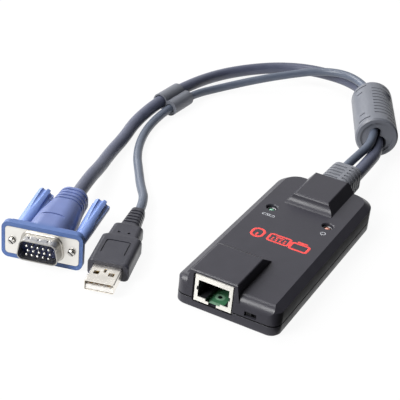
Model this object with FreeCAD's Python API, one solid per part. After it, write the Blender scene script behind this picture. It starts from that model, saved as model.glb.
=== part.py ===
"""Keyboard, video and mouse adapter: a flat two-shell housing with a network socket
at the front, and a captive pair of leads that end in a blue video plug and a dark
USB plug.  Millimetres, +Z up.  The origin is the centre of the housing's underside:
+X runs across it and +Y from the socket to the strain relief."""

import FreeCAD, Part
import math
import os

V = FreeCAD.Vector

# ---------------------------------------------------------------- driving sizes
# housing
body_width = 44.0          # across the two shells
body_length = 103.4        # socket face to the tail
seam_height = 4.6          # where the shells part
shoulder_height = 10.6     # foot of the sloping shoulder
deck_height = 12.8         # flat top
hump_height = 17.3         # top of both raised blocks
shoulder_inset = 3.2       # how far the shoulder leans in at the sides
tail_inset = 3.4           # and at the tail
front_corner = 4.5         # corner radii in plan
tail_corner = 10.0
nose_round = 4.2           # rolled edge between deck and socket face
wall = 2.0                 # side walls and deck
floor = 1.6                # bottom shell
hump_wall = 1.2            # thinner skin over the socket
seam_bevel = 0.3           # each shell's half of the parting groove
foot_bevel = 0.7           # bevel round the underside
lip_height = 1.1           # tongue of the bottom shell inside the top shell
lip_thickness = 0.8
fit_gap = 0.15             # clearance between moulded pieces

# network socket
socket_across = -5.3       # its centre, left of the middle
socket_width = 16.0
socket_height = 11.7
socket_depth = 18.0
socket_proud = 0.2         # how far the metal frame stands out
socket_gap = 0.4           # dark gap round it
frame_rim = 1.45           # width of the bright front frame
sheet = 0.3                # thickness of the folded shield
port_depth = 14.0          # depth of the plug cavity
latch_width = 6.4
latch_throat = 3.4

# raised block over the socket
nook_across = -5.8         # its middle; its right side stands closer to the socket
nook_half_width = 10.0     # at the top
nook_draft = 0.18          # widening per millimetre downwards
nook_crest = 22.1          # flat top, measured back from the socket face
nook_foot = 29.4           # where its back slope meets the deck
block_round = 0.8          # rounding of raised edges

# raised block over the leads
tail_half_width = 7.6
tail_draft = 0.755
tail_block_length = 26.2
tail_block_inset = 2.8     # in front of the tail
scoop_run = 2.2            # shallow start of the scooped front
scoop_angle = 22.0         # degrees
scoop_rise = 78.0          # degrees
scoop_round = 4.3          # hollow of the scoop
scoop_crest = 1.3          # and the rounding where it meets the top

# mode switch
switch_inset = 11.4        # its middle, in from the right side
switch_width = 7.6
switch_height = 4.4
switch_depth = 3.4
knob_width = 2.0
knob_height = 1.3
knob_reach = 1.5
knob_travel = 2.0
window_width = 5.0
window_height = 2.2

# indicator lamps
lamp_across = 12.9
lamp_back = 67.6           # measured back from the socket face
lamp_hole = 2.4            # radius
lamp_radius = 1.5
lamp_flange = 1.9
lamp_length = 5.0
lamp_sunk = 0.9            # tip below the deck
lamp_leg = 0.5
lamp_pitch = 2.54

# circuit board
board_thickness = 1.6
board_top = 4.2
board_margin = 0.5         # from the inner walls
board_length = 92.0
video_header = 6.0         # middle of each row of wire joints, across the board
usb_header = -6.5
peg_radius = 0.8           # the socket's locating peg
peg_back = 8.9             # behind the socket face
post_radius = 1.5
main_chip_size = 14.0
chip_height = 1.5
can_radius = 2.5           # capacitors
can_height = 5.4
header_back = 74.0         # wire headers, behind the socket face
header_depth = 5.0
header_height = 4.5
wire_spacing = 1.5
wire_radius = 0.5
# places on the board: across, and back from the socket face
main_chip_place = (0.0, 44.0)
chip_places = ((-11.5, 40.0, 5.0, 6.0), (11.5, 40.0, 5.0, 4.0), (6.0, 59.0, 6.0, 5.0))
can_places = ((13.5, 28.0), (-15.0, 28.0), (13.5, 52.0))
crystal_place = (-7.0, 57.0)

# housing screws
screw_across = 16.9
screw_front = 8.2          # measured back from the socket face
screw_tail = 11.8          # measured forward from the tail
screw_radius = 1.2
screw_head_radius = 2.2
screw_head_height = 1.5
screw_length = 8.0
screw_sunk = 0.5
boss_radius = 2.5
sleeve_radius = 3.3

# strain relief
relief_across = 0.5
relief_width = 15.0
relief_height = 13.4
relief_bottom = 2.1
relief_corner = 4.0
relief_reach = 19.4        # beyond the tail block
video_bore = 3.8           # where the leads leave it, across the body
usb_bore = -2.6
relief_taper = 0.7
relief_slots = 5
relief_pitch = 3.0
slot_width = 1.2
slot_depth = 1.5
flange_width = 21.0
flange_height = 8.2
flange_thickness = 1.8

# leads
video_lead = 6.2           # diameters
usb_lead = 4.2

# ferrite
ferrite_radius = 10.4
ferrite_length = 44.5
ferrite_at = (-1.1, 112.1)
ferrite_turn = 24.2
core_radius = 8.9
core_bore = 6.7
core_length = 34.0
core_gap = 0.2
video_place = (1.5, -3.0)  # each lead in the ferrite: across and up from its axis
usb_place = (-0.6, 2.4)
mouth_flare = 0.6          # where a lead enters the ferrite
mouth_depth = 6.0
ferrite_ribs = 9
rib_inset = 8.0            # first and last rib from the ends
rib_groove = 0.9
rib_depth = 0.45
rib_share = 0.2            # how far the ribs reach to the left of the middle
end_slot = 1.0             # width of the slots near both ends
end_slot_inset = 3.3
end_slot_depth = 1.8
end_recess = 0.8           # sunk disc in each end face
end_disc = 0.76            # its radius, as a share of the ferrite's

# clip that holds the leads side by side
clip_at = (-110.1, 88.9)
clip_turn = -2.5
clip_roll = 20.0           # it lies tilted, with the thin lead's sleeve on the table
clip_length = 17.0
clip_wall = 0.75
thin_clip_wall = 1.6
clip_web = 0.5             # between the two bores
clip_slack = 0.25          # round each lead

# video plug
video_at = (-77.9, -60.2)
video_turn = 15.0
hood_width = 34.0
hood_height = 16.4
hood_corner = 3.0
hood_rim = 3.2             # depth of the front rim
hood_lip = 2.8             # second, smaller step behind it, with the screw ears
lip_step = 1.2
hood_length = 40.7
barrel_width = 17.8        # moulded body between the thumbscrews
barrel_height = 15.2
collar_width = 13.4        # where it narrows towards the cable
collar_height = 12.4
collar_length = 14.0
collar_grooves = 4
groove_pitch = 2.8
groove_width = 1.1
groove_depth = 0.8
mark_radius = 13.0         # arc pressed into the top
mark_width = 0.9
mark_half = 6.0
flange_plate = (30.8, 12.4)
plate_thickness = 0.8
plate_corner = 1.5
shell_width = 18.0
shell_height = 9.4
shell_reach = 5.4
shell_sheet = 0.5
shell_corner = 2.6
dimple_radius = 0.9
dimple_spacing = 3.9
shell_lean = 10.0          # slant of the D's sides
pin_radius = 0.5
pin_pitch = 2.29
pin_rows = 3
pins_per_row = 5
pin_row_gap = 1.98
pin_reach = 4.6
thumb_across = 12.5
thumb_neck = 2.75          # radius beside the hood
thumb_tip = 3.85           # and at the free end
thumb_length = 32.0
thumb_gap = 0.4
thumb_flutes = 6
flute_radius = 1.15
flute_depth = 1.3          # at the free end
flute_start = 0.42         # share of the grip left smooth
bolt_radius = 1.42
bolt_clearance = 0.08      # round each thumbscrew in the hood
bolt_reach = 1.4
bolt_inside = 6.0          # held in the grip
thread_pitch = 0.55
thread_depth = 0.25

# USB plug
usb_at = (-47.0, -66.1)
usb_turn = 16.2
usb_shell_width = 12.0
usb_shell_height = 4.5
usb_shell_reach = 12.0
usb_sheet = 0.3
tongue_thickness = 1.9
tongue_gap = 0.12          # round the tongue, inside the shell
grip_width = 17.0
grip_height = 8.4
grip_length = 21.6
grip_corner = 2.2
waist_width = 12.8
waist_length = 9.6
boot_width = 8.2
boot_length = 14.8
boot_end = 6.2
boot_rings = 5
panel_half = 5.2           # raised panel outlined on both sides of the grip
panel_start = 4.8
panel_end = 16.4
panel_corner = 1.5
panel_groove = 0.7

# ------------------------------------------------------------- derived places
face = -(body_length - socket_proud) / 2      # plane of the socket face
tail = face + body_length
half_width = body_width / 2
board_bottom = board_top - board_thickness
block_end = tail - tail_block_inset
switch_across = half_width - switch_inset
relief_middle = relief_bottom + relief_height / 2
relief_end = block_end + relief_reach
ear_end = hood_rim + hood_lip                 # back of the video plug's screw ears
usb_length = usb_shell_reach + grip_length + waist_length + boot_length
seat_plane = block_end - wall                 # inner face that holds the relief


# ------------------------------------------------------------------- helpers
def rounded_edges(points, radii, closed=True):
    """Straight runs joined by tangent arcs, one radius for each corner."""
    points = [V(*p) for p in points]
    count = len(points)
    corners = range(count) if closed else range(1, count - 1)
    arcs = {}
    for i in corners:
        here, before, after = points[i], points[i - 1], points[(i + 1) % count]
        to_before = (before - here).normalize()
        to_after = (after - here).normalize()
        half_open = to_before.getAngle(to_after) / 2
        if radii[i] <= 0:
            arcs[i] = (here, here, here)
            continue
        setback = radii[i] / math.tan(half_open)
        inward = (to_before + to_after).normalize()
        centre = here + inward * (radii[i] / math.sin(half_open))
        arcs[i] = (here + to_before * setback, centre - inward * radii[i], here + to_after * setback)
    edges = []
    runs = range(count) if closed else range(count - 1)
    for i in runs:
        j = (i + 1) % count
        start = arcs[i][2] if i in arcs else points[i]
        end = arcs[j][0] if j in arcs else points[j]
        if start.distanceToPoint(end) > 1e-6:
            edges.append(Part.LineSegment(start, end).toShape())
        if j in arcs and radii[j] > 0:
            edges.append(Part.Arc(*arcs[j]).toShape())
    return edges


def rounded_wire(points, radius):
    """A closed wire; one radius for all corners, or a list."""
    radii = radius if isinstance(radius, (list, tuple)) else [radius] * len(points)
    return Part.Wire(rounded_edges(points, radii))


def prism(points, radius, along):
    """A closed rounded outline pushed along a vector."""
    return Part.Face(rounded_wire(points, radius)).extrude(V(*along))


def block(x0, x1, y0, y1, z0, z1):
    return Part.makeBox(x1 - x0, y1 - y0, z1 - z0, V(x0, y0, z0))


def rod(radius, length, at, along=(0, 0, 1)):
    return Part.makeCylinder(radius, length, V(*at), V(*along))


def union(shapes):
    shapes = list(shapes)
    return shapes[0].multiFuse(shapes[1:]).removeSplitter() if len(shapes) > 1 else shapes[0]


def group(shapes):
    """Separate solids that share one node."""
    return Part.makeCompound(list(shapes))


def upright_rectangle(width, height, y, across=0.0, up=0.0):
    """Corner points of a rectangle that faces along Y."""
    w, h = width / 2, height / 2
    corners = ((-w, -h), (w, -h), (w, h), (-w, h))
    return [(across + x, y, up + z) for x, z in corners]


def placed(shape, turn, at, up=0.0):
    """Turns a piece built about its own Y axis and sets it on the table."""
    shape = shape.copy()
    shape.rotate(V(0, 0, 0), V(0, 0, 1), turn)
    shape.translate(V(at[0], at[1], up))
    return shape


def local_to_table(point, turn, at, up=0.0):
    angle = math.radians(turn)
    x, y, z = point
    return (at[0] + x * math.cos(angle) - y * math.sin(angle),
            at[1] + x * math.sin(angle) + y * math.cos(angle), up + z)


def save(name, shape):
    os.makedirs("parts", exist_ok=True)
    shape.exportStep("parts/" + name + ".step")
    solids = shape.Solids
    volume = sum(s.Volume for s in solids)
    print(name, len(solids), "solids", round(volume, 2), "mm3", "valid" if shape.isValid() else "INVALID")


# ------------------------------------------------------------------- housing
def plan(inset, z, lean=0.0):
    """The housing's outline in plan, drawn in by inset; lean (0 to 1) moves the sides
    and the tail in towards the deck while the face stays put."""
    side = half_width - inset - lean * shoulder_inset
    front_y = face + inset
    tail_y = tail - inset - lean * tail_inset
    front = max(front_corner - inset - lean * shoulder_inset / 2, 0.6)
    back = max(tail_corner - inset - lean * shoulder_inset, 0.6)
    points = ((-side, front_y, z), (side, front_y, z), (side, tail_y, z), (-side, tail_y, z))
    return rounded_wire(points, [front, front, back, back])


def ring_loft(*wires):
    return Part.makeLoft(list(wires), True, True)


def deck_form(inset):
    """Upper half without its raised blocks: upright sides, sloping shoulder, flat deck.
    An inset keeps the same thickness square to the slope."""
    slope = (deck_height - shoulder_height) / shoulder_inset
    stretch = math.hypot(1, slope)
    knee = shoulder_height + slope * inset - inset * stretch
    top = deck_height - inset
    lean = ((top - shoulder_height + inset * stretch) / slope - inset) / shoulder_inset
    low = Part.Face(plan(inset, seam_height)).extrude(V(0, 0, knee - seam_height))
    high = ring_loft(plan(inset, knee), plan(inset, top, lean))
    form = low.fuse(high).removeSplitter()
    if inset > 0:
        return form
    nose = ((0, face, 0), (0, face, deck_height), (0, tail + 1, deck_height), (0, tail + 1, 0))
    side_view = prism(nose, [0, nose_round, 0, 0], (body_width + 2, 0, 0))
    side_view.translate(V(-half_width - 1, 0, 0))
    return form.common(side_view)


def raised_block(across, half_top, draft, outline, radii, skin):
    """A drafted block: its front view pushed along Y, cut to its side view."""
    top = hump_height - skin
    low = deck_height - wall - 1
    half = half_top - skin
    spread = half + draft * (top - low + skin)
    front_view = [(across - spread, face - 1, low), (across + spread, face - 1, low),
                  (across + half, face - 1, top), (across - half, face - 1, top)]
    body = prism(front_view, [0, 0, block_round, block_round], (0, body_length + 2, 0))
    cutter = prism([(0, y, z) for y, z in outline], radii, (2 * spread + 2, 0, 0))
    cutter.translate(V(across - spread - 1, 0, 0))
    return body.common(cutter)


def nook_block(skin):
    """Raised block over the socket, with a back slope down to the deck."""
    front_y = face + (wall if skin > 0 else 0)
    crest = face + nook_crest
    foot = face + nook_foot
    slope = (hump_height - deck_height) / (foot - crest)
    low = deck_height - wall - 1
    back = foot + (deck_height - low) / slope - 2 * skin
    top = hump_height - skin
    crest_y = back - (top - low) / slope
    outline = ((front_y, low), (back, low), (crest_y, top), (front_y, top))
    radii = [0, 0, block_round, block_round if skin == 0 else 0]
    return raised_block(nook_across, nook_half_width, nook_draft, outline, radii, skin)


def tail_block(skin):
    """Raised block over the leads, with a scooped front."""
    foot = block_end - tail_block_length + skin
    low = deck_height - wall - 1
    first = math.tan(math.radians(scoop_angle))
    second = math.tan(math.radians(scoop_rise))
    knee = foot + scoop_run
    knee_z = deck_height - skin + scoop_run * first
    start = knee - (knee_z - low) / first
    top = hump_height - skin
    crest = knee + (top - knee_z) / second
    end = block_end - skin
    outline = ((end, low), (end, top), (crest, top), (knee, knee_z), (start, low))
    crest_round, hollow_round = (scoop_crest, scoop_round) if skin == 0 else (block_round, 1.0)
    radii = [0, block_round, crest_round, hollow_round, 0]
    return raised_block(relief_across, tail_half_width, tail_draft, outline, radii, skin)


def screw_places():
    return [(side * screw_across, y) for side in (-1, 1) for y in (face + screw_front, tail - screw_tail)]


def relief_section(y, shrink, grow):
    width = relief_width - shrink + 2 * grow
    height = relief_height - shrink + 2 * grow
    points = upright_rectangle(width, height, y, relief_across, relief_middle)
    return rounded_wire(points, relief_corner + grow - shrink / 2)


def relief_hole():
    """What both shells leave open for the strain relief."""
    start = seat_plane - 1
    return Part.Face(relief_section(start, 0, fit_gap)).extrude(V(0, tail + 1 - start, 0))


def relief_seat(z0, z1):
    """Solid tail wall that carries the strain relief, between two heights."""
    reach = flange_width / 2 + 2
    return block(relief_across - reach, relief_across + reach, seat_plane, tail, z0, z1)


def flange_pocket():
    """Room behind the tail wall for the strain relief's flange."""
    y0 = seat_plane - fit_gap - flange_thickness - 0.3
    half = flange_width / 2 + 0.3
    return block(relief_across - half, relief_across + half, y0, seat_plane, relief_bottom - 0.3,
                 relief_bottom + flange_height + 0.3)


def socket_hole():
    half = socket_width / 2 + socket_gap
    return block(socket_across - half, socket_across + half, face - 1, face + wall + 0.5,
                 board_top - socket_gap, board_top + socket_height + socket_gap)


def window():
    """Switch window in the socket face, just above the parting line."""
    low = seam_height + 0.7
    half = window_width / 2
    return block(switch_across - half, switch_across + half, face - 1, face + wall + 1,
                 low, low + window_height)


def top_shell():
    outer = union([deck_form(0), nook_block(0), tail_block(0)])
    bevel = ring_loft(plan(seam_bevel, seam_height), plan(0, seam_height + seam_bevel))
    rim = Part.Face(plan(0, seam_height)).extrude(V(0, 0, seam_bevel)).cut(bevel)
    hollow = deck_form(wall).cut(relief_seat(seam_height, deck_height))
    hollow = union([hollow, nook_block(hump_wall), tail_block(wall)])
    shell = outer.cut(rim).cut(hollow)
    pilot = screw_length + screw_sunk - seam_height + 0.6
    for x, y in screw_places():
        shell = shell.fuse(rod(boss_radius, deck_height - wall - seam_height + 0.2, (x, y, seam_height)))
    for x, y in screw_places():
        shell = shell.cut(rod(screw_radius, pilot, (x, y, seam_height - 0.1)))
    rebate = lip_height + fit_gap
    groove = Part.Face(plan(wall - lip_thickness - fit_gap, seam_height)).extrude(V(0, 0, rebate))
    core = Part.Face(plan(wall, seam_height)).extrude(V(0, 0, rebate))
    shell = shell.cut(groove.cut(core).cut(relief_seat(seam_height, deck_height)))
    shell = shell.cut(socket_hole()).cut(window()).cut(relief_hole()).cut(flange_pocket())
    for side in (-1, 1):
        x, y = side * lamp_across, face + lamp_back
        shell = shell.cut(rod(lamp_hole, wall + 2, (x, y, deck_height - wall - 1)))
        shell = shell.cut(Part.makeCone(lamp_hole, lamp_hole + 0.4, 0.4, V(x, y, deck_height - 0.4)))
    return shell


def bottom_shell():
    low = ring_loft(plan(foot_bevel, 0), plan(0, foot_bevel))
    side = Part.Face(plan(0, foot_bevel)).extrude(V(0, 0, seam_height - seam_bevel - foot_bevel))
    rim = ring_loft(plan(0, seam_height - seam_bevel), plan(seam_bevel, seam_height))
    outer = union([low, side, rim])
    hollow = Part.Face(plan(wall, floor)).extrude(V(0, 0, seam_height))
    shell = outer.cut(hollow.cut(relief_seat(0, hump_height)))
    tongue = Part.Face(plan(wall - lip_thickness, seam_height - 0.5)).extrude(V(0, 0, lip_height + 0.5))
    tongue = tongue.cut(Part.Face(plan(wall, seam_height - 1)).extrude(V(0, 0, lip_height + 2)))
    seat = relief_seat(0, hump_height)
    face_clear = block(-half_width, half_width, face - 1, face + wall + 0.2, seam_height, hump_height)
    shell = shell.fuse(tongue.cut(seat).cut(face_clear))
    for x, y in screw_places():
        sleeve = rod(sleeve_radius, seam_height - floor / 2, (x, y, floor / 2))
        shell = shell.fuse(sleeve.common(Part.Face(plan(wall / 2, 0)).extrude(V(0, 0, seam_height))))
    for x, y in screw_places():
        shell = shell.cut(rod(screw_radius + fit_gap, seam_height + 1, (x, y, -0.5)))
        shell = shell.cut(rod(screw_head_radius + 0.3, screw_sunk + screw_head_height, (x, y, 0)))
    for x, y in board_posts():
        shell = shell.fuse(rod(post_radius, board_bottom - floor / 2, (x, y, floor / 2)))
    return shell.cut(socket_hole()).cut(relief_hole()).cut(flange_pocket()).removeSplitter()


def case_screws():
    """Pan-head screws driven up from below; the recess is a cross."""
    screws = []
    for x, y in screw_places():
        head = rod(screw_head_radius, screw_head_height, (x, y, screw_sunk))
        shank = rod(screw_radius, screw_length - screw_head_height, (x, y, screw_sunk + screw_head_height))
        cross = union([block(x - 1.3, x + 1.3, y - 0.3, y + 0.3, screw_sunk - 0.1, screw_sunk + 0.8),
                       block(x - 0.3, x + 0.3, y - 1.3, y + 1.3, screw_sunk - 0.1, screw_sunk + 0.8)])
        screws.append(head.fuse(shank).removeSplitter().cut(cross))
    return group(screws)


# --------------------------------------------------------------- electronics
def board_posts():
    half = half_width - wall - board_margin - post_radius - 1
    return [(side * half, face + back) for side in (-1, 1) for back in (24, 50, 76)]


def circuit_board():
    half = half_width - wall - board_margin
    start = face + wall + board_margin
    end = min(start + board_length, seat_plane - flange_thickness - 1)
    corners = ((-half, start, board_bottom), (half, start, board_bottom),
               (half, end, board_bottom), (-half, end, board_bottom))
    board = prism(corners, [3, 3, 6, 6], (0, 0, board_thickness))
    for x, y in screw_places():
        board = board.cut(rod(sleeve_radius + 0.4, board_thickness + 2, (x, y, board_bottom - 1)))
    for x, y in peg_places():
        board = board.cut(rod(peg_radius + 0.1, board_thickness + 2, (x, y, board_bottom - 1)))
    return board


def peg_places():
    return [(socket_across - 0.7, face + peg_back)]


def jack_shield():
    """Folded shield: a bright front frame, sides, top and back, open underneath."""
    front = face - socket_proud
    low, high = board_top, board_top + socket_height
    half = socket_width / 2
    box = block(socket_across - half, socket_across + half, front, front + socket_depth, low, high)
    room = block(socket_across - half + sheet, socket_across + half - sheet, front + sheet,
                 front + socket_depth - sheet, low - 1, high - sheet)
    shield = box.cut(room)
    mouth_low = low + 1.95
    mouth_high = high - 2.1
    mouth_half = half - frame_rim
    mouth = [block(socket_across - mouth_half, socket_across + mouth_half, front - 1, front + 1,
                   mouth_low, mouth_high)]
    middle = (mouth_low + mouth_high) / 2
    mouth.append(block(socket_across - mouth_half - 0.6, socket_across + mouth_half + 0.6, front - 1,
                       front + 1, middle - 0.9, middle + 0.9))
    steps = ((latch_width / 2, low + 1.05), (latch_throat / 2, low - 1))
    for reach, bottom in steps:
        mouth.append(block(socket_across - reach, socket_across + reach, front - 1, front + 1,
                           bottom, mouth_low + 0.5))
    return shield.cut(union(mouth))


def jack_insulator():
    """Black moulding inside the shield; its cavity is open to the board below."""
    front = face - socket_proud + sheet + 0.05
    low, high = board_top, board_top + socket_height - sheet - 0.05
    half = socket_width / 2 - sheet - 0.05
    back = face - socket_proud + socket_depth - sheet - 0.05
    body = block(socket_across - half, socket_across + half, front, back, low, high)
    cavity_half = socket_width / 2 - frame_rim
    body = body.cut(block(socket_across - cavity_half, socket_across + cavity_half, front - 1,
                          front + port_depth, low + 1.95, high - 1.3))
    body = body.cut(block(socket_across - latch_width / 2, socket_across + latch_width / 2 + 1.6,
                          front - 1, front + port_depth - 1, low - 1, low + 2.5))
    return body


def jack_contacts():
    """Eight spring wires that slope down from the roof of the cavity."""
    front = face - socket_proud + sheet + 0.05
    roof = board_top + socket_height - sheet - 0.05 - 1.3
    wires = []
    for i in range(8):
        x = socket_across + (i - 3.5) * 1.02
        points = ((x, front + 2.0, roof - 0.05), (x, front + 2.6, roof - 0.05),
                  (x, front + port_depth - 0.05, roof - 2.2), (x, front + port_depth - 0.05, roof - 2.7))
        wire = Part.Face(Part.makePolygon([V(*p) for p in points] + [V(*points[0])]))
        wire.translate(V(-0.2, 0, 0))
        wires.append(wire.extrude(V(0.4, 0, 0)))
    return group(wires)


def switch_slot_low():
    return seam_height + 0.7 + (window_height - knob_height) / 2


def switch_body():
    back = face + wall + 0.3
    half = switch_width / 2
    body = block(switch_across - half, switch_across + half, back, back + switch_depth,
                 board_top, board_top + switch_height)
    slot = (knob_width + knob_travel) / 2 + fit_gap
    low = switch_slot_low() - fit_gap
    return body.cut(block(switch_across - slot, switch_across + slot, back - 1, back + 1.6,
                          low, low + knob_height + 2 * fit_gap))


def switch_knob():
    """Ribbed slider, at the left end of its travel."""
    back = face + wall + 0.3
    middle = switch_across - knob_travel / 2
    low = switch_slot_low()
    knob = block(middle - knob_width / 2, middle + knob_width / 2, back - knob_reach, back + 1.4,
                 low, low + knob_height)
    for step in (-0.5, 0.1):
        knob = knob.cut(block(middle + step, middle + step + 0.35, back - knob_reach - 1,
                              back - knob_reach + 0.35, low - 1, low + knob_height + 1))
    return knob


def lamp(side):
    """Round lamp with a domed tip that stays just under the deck."""
    x, y = side * lamp_across, face + lamp_back
    tip = deck_height - lamp_sunk
    foot = tip - lamp_length
    rise = lamp_length - lamp_radius
    lens = rod(lamp_radius, rise, (x, y, foot)).fuse(Part.makeSphere(lamp_radius, V(x, y, foot + rise)))
    return union([lens, rod(lamp_flange, 1.0, (x, y, foot))])


def lamp_legs():
    legs = []
    foot = deck_height - lamp_sunk - lamp_length
    half = lamp_leg / 2
    for side in (-1, 1):
        for step in (-1, 1):
            x, y = side * lamp_across + step * lamp_pitch / 2, face + lamp_back
            legs.append(block(x - half, x + half, y - half, y + half, board_top, foot))
    return group(legs)


def chip(x, y, width, length, height):
    """A flat package with a bevelled top edge, seated on the board."""
    low = board_top
    w, l = width / 2, length / 2
    lower = [V(x + a * w, y + b * l, low + height / 2) for a, b in ((-1, -1), (1, -1), (1, 1), (-1, 1))]
    upper = [V(x + a * (w - 0.2), y + b * (l - 0.2), low + height)
             for a, b in ((-1, -1), (1, -1), (1, 1), (-1, 1))]
    base = block(x - w, x + w, y - l, y + l, low, low + height / 2)
    top = Part.makeLoft([Part.makePolygon(p + [p[0]]) for p in (lower, upper)], True, True)
    return base.fuse(top).removeSplitter()


def main_chip():
    x, back = main_chip_place
    return chip(x, face + back, main_chip_size, main_chip_size, chip_height)


def small_chips():
    return group([chip(x, face + back, width, length, chip_height) for x, back, width, length in chip_places])


def crystal():
    across, back = crystal_place
    y, w = face + back, 2.2
    ends = [(across + s * 2.6, y) for s in (-1, 1)]
    can = block(ends[0][0], ends[1][0], y - w, y + w, board_top, board_top + 3.2)
    rounds = [rod(w, 3.2, (x, yy, board_top)) for x, yy in ends]
    return union([can] + rounds)


def capacitors():
    return group([rod(can_radius, can_height, (x, face + back, board_top)) for x, back in can_places])


def header(x, width):
    """Wafer header for one lead, open at its top."""
    y0 = face + header_back
    half, rim = width / 2, 0.7
    body = block(x - half, x + half, y0, y0 + header_depth, board_top, board_top + header_height)
    return body.cut(block(x - half + rim, x + half - rim, y0 + rim, y0 + header_depth - rim,
                          board_top + header_height / 3, board_top + header_height + 1))


def inner_wires():
    """The leads' cores between the strain relief and the two headers."""
    wires = []
    start = seat_plane - fit_gap - flange_thickness
    y_turn = face + header_back + header_depth / 2
    low = board_top + header_height / 3 + 0.1
    high = board_top + header_height + wire_radius + 0.3
    for x, count in ((video_header, 6), (usb_header, 4)):
        for i in range(count):
            across = x + (i - (count - 1) / 2) * wire_spacing
            points = ((across, start, high), (across, y_turn, high), (across, y_turn, low))
            path = Part.Wire(rounded_edges(points, [0, 2.4 * wire_radius, 0], closed=False))
            wires.append(sweep_circle(path, wire_radius))
    return group(wires)


def sweep_circle(path, radius):
    """A round tube along a smooth path."""
    first = path.OrderedEdges[0]
    start = first.valueAt(first.FirstParameter)
    along = first.tangentAt(first.FirstParameter)
    ring = Part.Wire(Part.Circle(start, along, radius).toShape())
    return path.makePipeShell([ring], True, False)


# -------------------------------------------------------------- strain relief
def strain_relief():
    """Soft block that both leads leave through, with staggered flexing slots."""
    body = Part.makeLoft([relief_section(block_end, 0, 0), relief_section(relief_end, relief_taper, 0)],
                         True, True)
    neck = Part.Face(relief_section(seat_plane, 0, 0)).extrude(V(0, block_end - seat_plane, 0))
    half = flange_width / 2
    y1 = seat_plane - fit_gap
    flange = block(relief_across - half, relief_across + half, y1 - flange_thickness, y1,
                   relief_bottom, relief_bottom + flange_height)
    stem = block(relief_across - 5, relief_across + 5, y1 - 0.1, seat_plane, relief_bottom + 1,
                 relief_bottom + flange_height - 1)
    body = union([body, neck, flange, stem])
    clear = 1.5
    for i in range(relief_slots):
        for lead, (left, right) in enumerate(((2.6, relief_width), (-relief_width, 1.2))):
            y = tail + 0.4 + i * relief_pitch - (lead * relief_pitch / 2 - clear)
            if y + slot_width > relief_end - 0.8:
                continue
            ring = Part.Face(relief_section(y, 0, 1)).cut(Part.Face(relief_section(y, 0, -slot_depth)))
            ring = ring.extrude(V(0, slot_width, 0))
            keep = block(relief_across + left, relief_across + right, y - 1, y + slot_width + 1,
                         relief_bottom + 1.6, hump_height + 2)
            body = body.cut(ring.common(keep))
    return body


# ---------------------------------------------------------------- video plug
# Built about its own axis: its flange lies in the plane y = 0 and the cable leaves
# along +y.
def hood_section(y, width, height, corner):
    return rounded_wire(upright_rectangle(width, height, y), corner)


def smooth_loft(*wires):
    return Part.makeLoft(list(wires), True, False)


def barrel_size(y):
    """Width and height of the hood's body at a distance behind its front."""
    stations = ((hood_rim, barrel_width, barrel_height), (hood_length * 0.4, barrel_width - 0.4, barrel_height),
                (hood_length - collar_length, collar_width + 1.4, collar_height + 1.2),
                (hood_length - collar_length / 2, collar_width, collar_height),
                (hood_length, collar_width - 0.6, collar_height - 0.6))
    for (y0, w0, h0), (y1, w1, h1) in zip(stations, stations[1:]):
        if y <= y1:
            share = (y - y0) / (y1 - y0)
            return w0 + (w1 - w0) * share, h0 + (h1 - h0) * share
    return stations[-1][1:]


def barrel_section(y, inset=0.0):
    width, height = barrel_size(y)
    width, height = width - 2 * inset, height - 2 * inset
    return hood_section(y, width, height, min(width, height) * 0.42)


def video_hood():
    """Blue moulded hood: a rim and a second step with ears for the thumbscrews, then a
    smooth barrel between them that narrows to a grooved collar."""
    width, height = hood_width - 2 * lip_step, hood_height - 2 * lip_step
    rim = Part.Face(hood_section(0, hood_width, hood_height, hood_corner)).extrude(V(0, hood_rim - 0.6, 0))
    bevel = ring_loft(hood_section(hood_rim - 0.6, hood_width, hood_height, hood_corner),
                      hood_section(hood_rim, hood_width - 1.2, hood_height - 1.2, hood_corner - 0.6))
    lip = ring_loft(hood_section(hood_rim - 0.1, width, height, hood_corner - 0.6),
                    hood_section(ear_end - lip_step, width, height, hood_corner - 0.6),
                    hood_section(ear_end, width - 2 * lip_step, height - 2 * lip_step, hood_corner - 1.6))
    places = (hood_rim, hood_length * 0.25, hood_length * 0.5, hood_length - collar_length,
              hood_length - collar_length / 2, hood_length - 2.0)
    barrel = smooth_loft(*[barrel_section(y) for y in places])
    cap = smooth_loft(barrel_section(hood_length - 2.0), barrel_section(hood_length - 0.8, 0.5),
                      barrel_section(hood_length, 1.8))
    hood = union([rim, bevel, lip, barrel, cap])
    for i in range(collar_grooves):
        y = hood_length - 3.2 - groove_width - i * groove_pitch
        ring = Part.Face(barrel_section(y, -3)).cut(Part.Face(barrel_section(y, groove_depth)))
        hood = hood.cut(ring.extrude(V(0, groove_width, 0)))
    top = barrel_height / 2 - 0.6
    mark = rod(mark_radius, 4, (0, 1.0, top)).cut(rod(mark_radius - mark_width, 4, (0, 1.0, top)))
    hood = hood.cut(mark.common(block(-mark_half, mark_half, ear_end, hood_length, 0, hood_height)))
    width, height = flange_plate
    pocket = Part.Face(hood_section(-1, width + 2 * fit_gap, height + 2 * fit_gap, plate_corner + fit_gap))
    hood = hood.cut(pocket.extrude(V(0, 1 + plate_thickness, 0)))
    for side in (-1, 1):
        hood = hood.cut(rod(bolt_radius + bolt_clearance, ear_end + 2, (side * thumb_across, -1, 0), (0, 1, 0)))
    return hood.cut(Part.Face(d_outline(plate_thickness - 0.1, 0.2)).extrude(V(0, 4.2, 0)))


def d_outline(y, grow=0.0):
    """The D of a video connector: its wider side is below."""
    w, h = shell_width / 2 + grow, shell_height / 2 + grow
    lean = 2 * h * math.tan(math.radians(shell_lean))
    points = ((-w, y, -h), (w, y, -h), (w - lean, y, h), (-w + lean, y, h))
    return rounded_wire(points, shell_corner + grow)


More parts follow.
